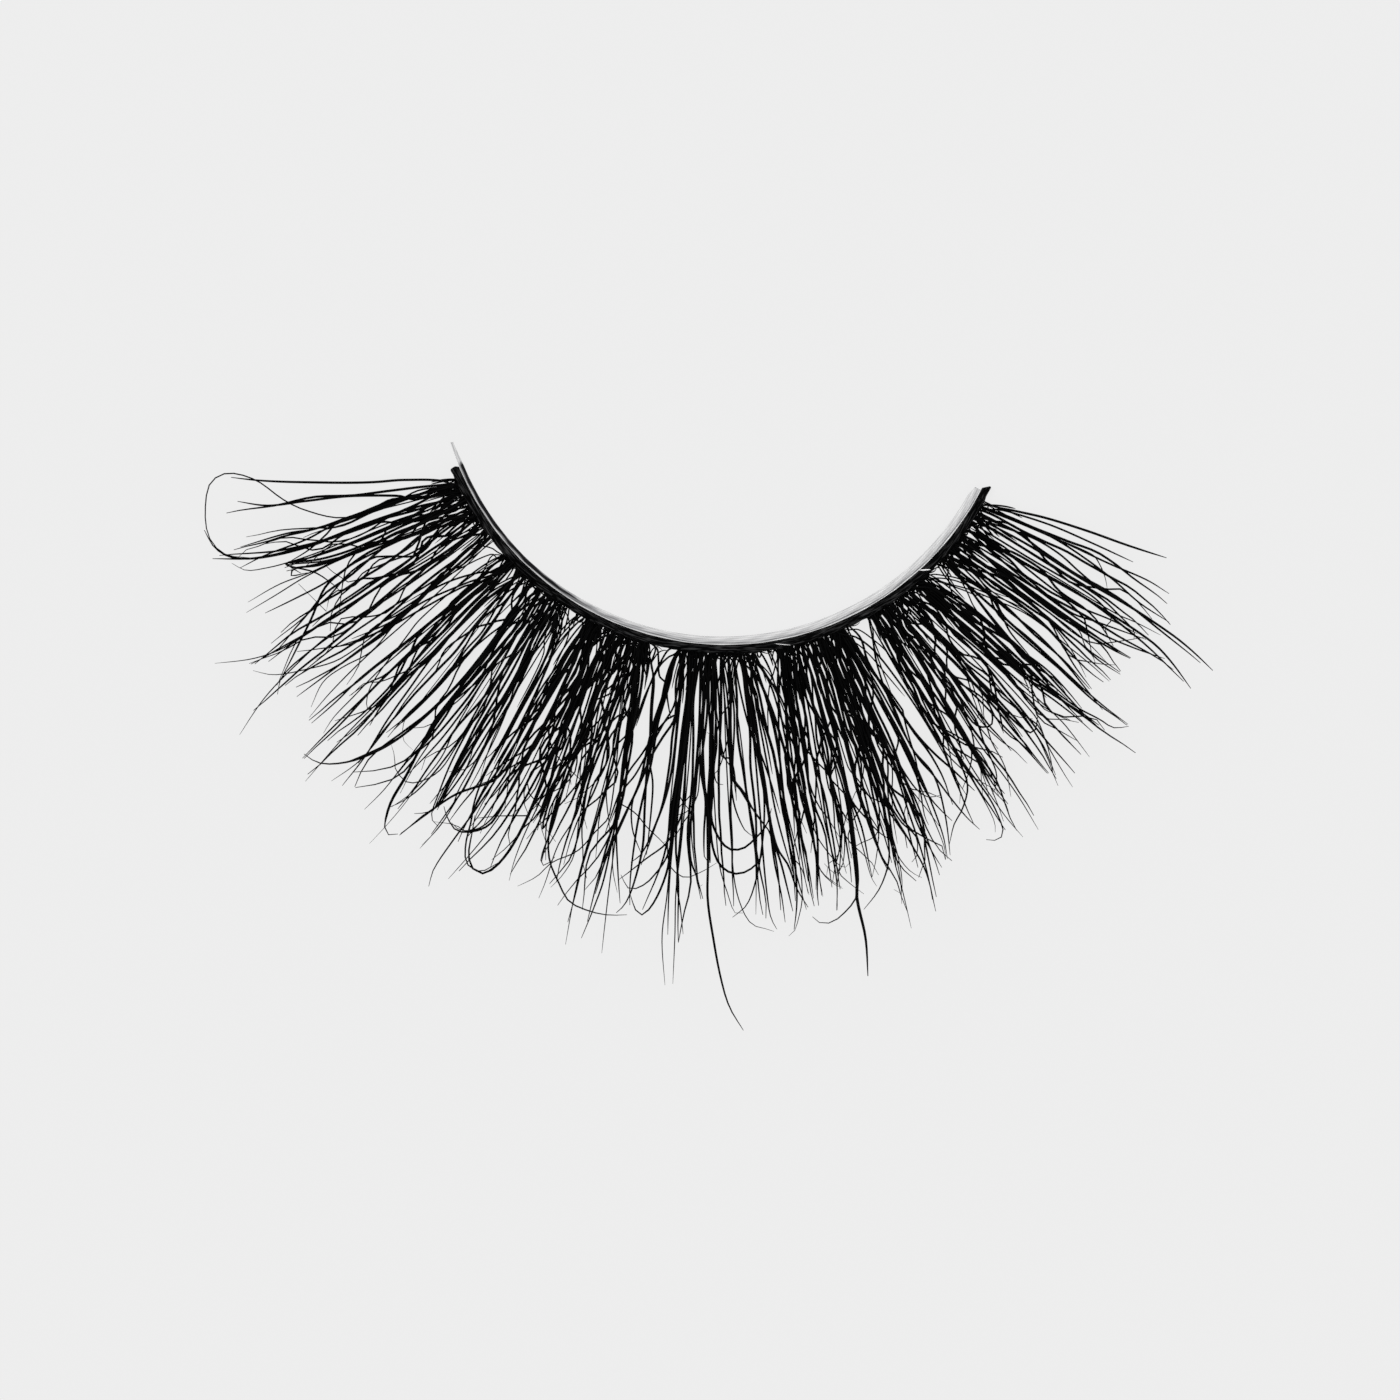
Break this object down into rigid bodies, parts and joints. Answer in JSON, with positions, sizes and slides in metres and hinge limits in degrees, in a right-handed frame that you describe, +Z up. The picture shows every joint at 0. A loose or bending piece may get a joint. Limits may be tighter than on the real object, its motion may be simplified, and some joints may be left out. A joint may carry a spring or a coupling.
{
  "type": "false eyelash strip",
  "caption": "Black strip of false eyelashes: a curved thread band with a thin clear edge strip, carrying separate fans of long tapered lashes whose wispy tips curl up.",
  "frame": {"origin": "middle of the band's flat underside, at the lowest point of its arc", "axes": "+X along the band's chord, +Y towards the open side of the arc, where the eyelid is, -Y the way the middle lashes point, +Z up, the way the lash tips curl"},
  "size_m": [0.0498, 0.0293, 0.0076],
  "materials": {
    "lash_fibre": "satin black synthetic hair",
    "black_thread": "wound cotton thread, stiffened with glue",
    "clear_film": "clear, flexible"
  },
  "bodies": {
    "root": {"band": "black_thread", "clear_strip": "clear_film", "lash_fan_1": "lash_fibre", "lash_fan_2": "lash_fibre", "lash_fan_3": "lash_fibre", "lash_fan_4": "lash_fibre", "lash_fan_5": "lash_fibre", "lash_fan_6": "lash_fibre", "lash_fan_7": "lash_fibre"}
  },
  "joints": []
}
